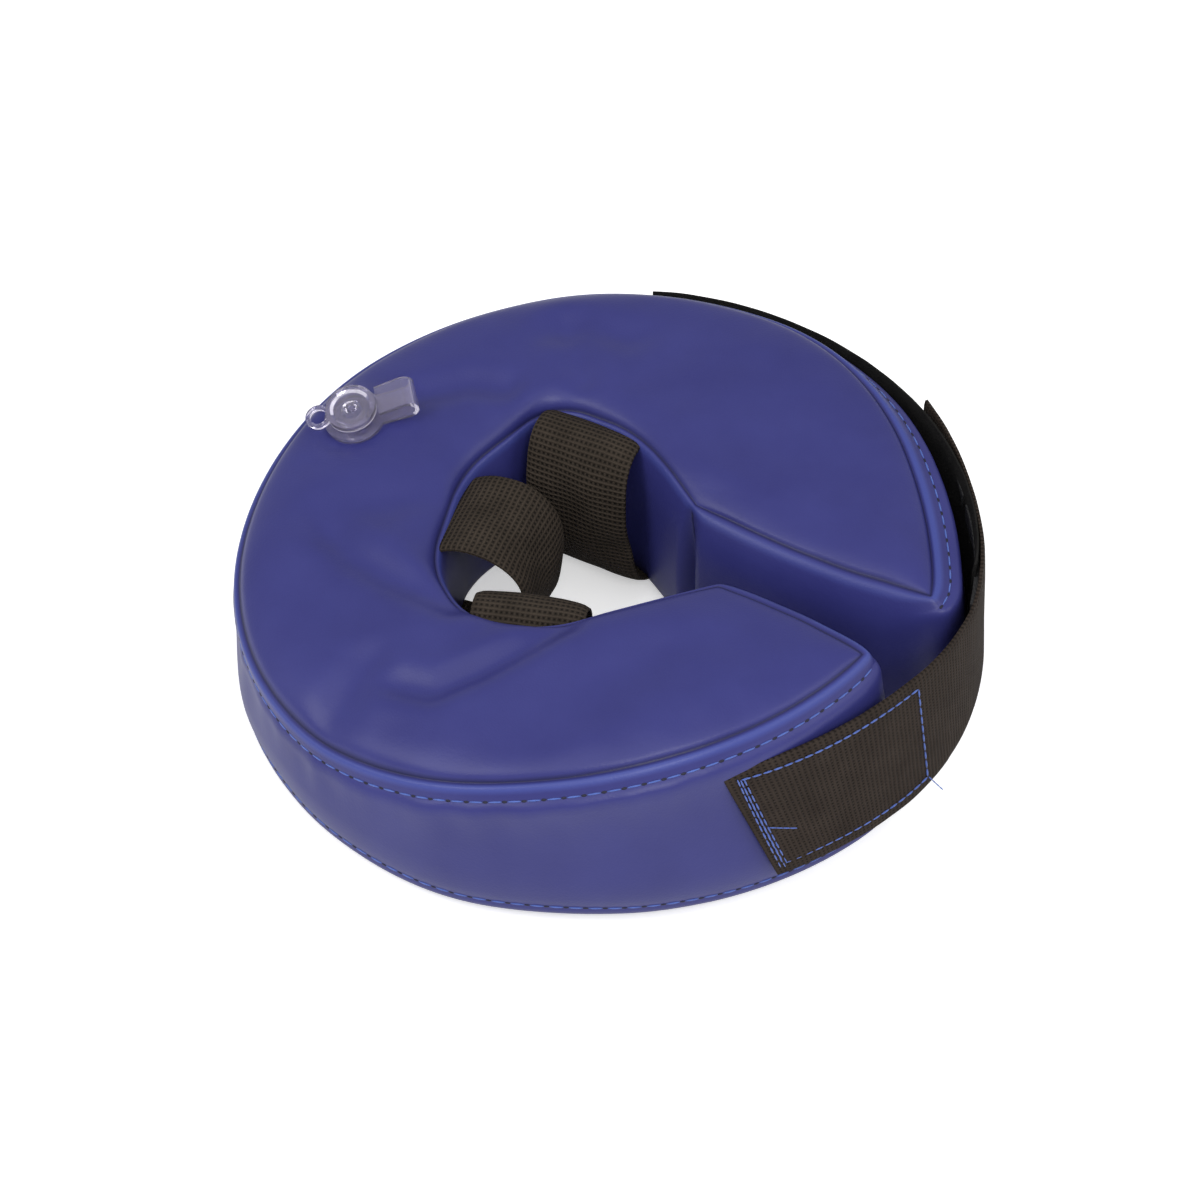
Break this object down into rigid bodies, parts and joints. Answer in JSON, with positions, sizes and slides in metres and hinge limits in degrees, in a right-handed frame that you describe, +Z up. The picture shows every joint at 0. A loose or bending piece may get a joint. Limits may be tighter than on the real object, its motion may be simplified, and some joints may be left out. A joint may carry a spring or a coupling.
{
  "type": "inflatable elizabethan collar",
  "caption": "Small inflatable ring-shaped recovery collar for a pet: vinyl cushion with a slit, webbing closure strap, collar loops in the neck hole and a plug valve.",
  "frame": {"origin": "on the axis of the ring's outer circle, in the floor plane", "axes": "+Z up; +X from the axis out through the middle of the slit"},
  "size_m": [0.2013, 0.1979, 0.062],
  "materials": {
    "blue_vinyl": "satin coated cloth",
    "pvc_film": "smooth film",
    "loop_webbing": "coarse woven",
    "strap_webbing": "ribbed woven",
    "hook_tape": "hooked",
    "pile_tape": "looped pile",
    "clear_pvc": "glossy clear",
    "flap_rubber": "soft"
  },
  "bodies": {
    "back": {"top_panel_back": "blue_vinyl", "bottom_panel_back": "blue_vinyl", "outer_wall_back": "blue_vinyl", "inner_wall_back": "blue_vinyl", "air_bladder_back": "pvc_film", "side_loop": "loop_webbing", "valve_base": "clear_pvc", "valve_flap": "flap_rubber"},
    "loop_arm": {"top_panel_loop_arm": "blue_vinyl", "bottom_panel_loop_arm": "blue_vinyl", "outer_wall_loop_arm": "blue_vinyl", "inner_wall_loop_arm": "blue_vinyl", "end_panel_loop_arm": "blue_vinyl", "air_bladder_loop_arm": "pvc_film", "back_loop": "loop_webbing", "pile_strip": "pile_tape"},
    "strap_arm": {"top_panel_strap_arm": "blue_vinyl", "bottom_panel_strap_arm": "blue_vinyl", "outer_wall_strap_arm": "blue_vinyl", "inner_wall_strap_arm": "blue_vinyl", "end_panel_strap_arm": "blue_vinyl", "air_bladder_strap_arm": "pvc_film", "front_loop": "loop_webbing", "strap_anchor": "strap_webbing"},
    "strap_near": {"closure_strap_1": "strap_webbing"},
    "strap_mid": {"closure_strap_2": "strap_webbing", "hook_strip_2": "hook_tape"},
    "strap_end": {"closure_strap_3": "strap_webbing", "hook_strip_3": "hook_tape"},
    "valve_tether": {"valve_tether": "clear_pvc"},
    "valve_plug": {"valve_plug": "clear_pvc"}
  },
  "joints": [
    {"name": "loop_arm_flex", "type": "hinge", "parent": "back", "child": "loop_arm", "pos_m": [-0.08241, 0.05558, 0], "axis": [0, 0, 1], "range_deg": [0, 12]},
    {"name": "strap_arm_flex", "type": "hinge", "parent": "back", "child": "strap_arm", "pos_m": [-0.0497, -0.08608, 0], "axis": [0, 0, -1], "range_deg": [0, 12]},
    {"name": "strap_peel_near", "type": "hinge", "parent": "strap_arm", "child": "strap_near", "pos_m": [0.09867, -0.02829, 0.013], "axis": [0.0671, -0.0192, -0.9976], "range_deg": [0, 60]},
    {"name": "strap_peel_mid", "type": "hinge", "parent": "strap_near", "child": "strap_mid", "pos_m": [0.10108, 0.01782, 0.013], "axis": [0.0687, 0.0121, -0.9976], "range_deg": [0, 24]},
    {"name": "strap_peel_end", "type": "hinge", "parent": "strap_mid", "child": "strap_end", "pos_m": [0.08509, 0.0574, 0.013], "axis": [0.0578, 0.039, -0.9976], "range_deg": [0, 24]},
    {"name": "valve_tether_fold", "type": "hinge", "parent": "back", "child": "valve_tether", "pos_m": [-0.06961, 0.01734, 0.06108], "axis": [-0.5796, 0.7851, 0.2185], "range_deg": [0, 80]},
    {"name": "valve_plug_turn", "type": "hinge", "parent": "valve_tether", "child": "valve_plug", "pos_m": [-0.07586, 0.01388, 0.05694], "axis": [-0.5796, 0.7851, 0.2185], "range_deg": [-80, 0]}
  ],
  "couplings": [
    {"joint": "strap_arm_flex", "follows": "loop_arm_flex", "ratio": 1},
    {"joint": "strap_peel_near", "follows": "loop_arm_flex", "ratio": 5},
    {"joint": "strap_peel_mid", "follows": "loop_arm_flex", "ratio": 2},
    {"joint": "strap_peel_end", "follows": "loop_arm_flex", "ratio": 2},
    {"joint": "valve_plug_turn", "follows": "valve_tether_fold", "ratio": -1}
  ]
}
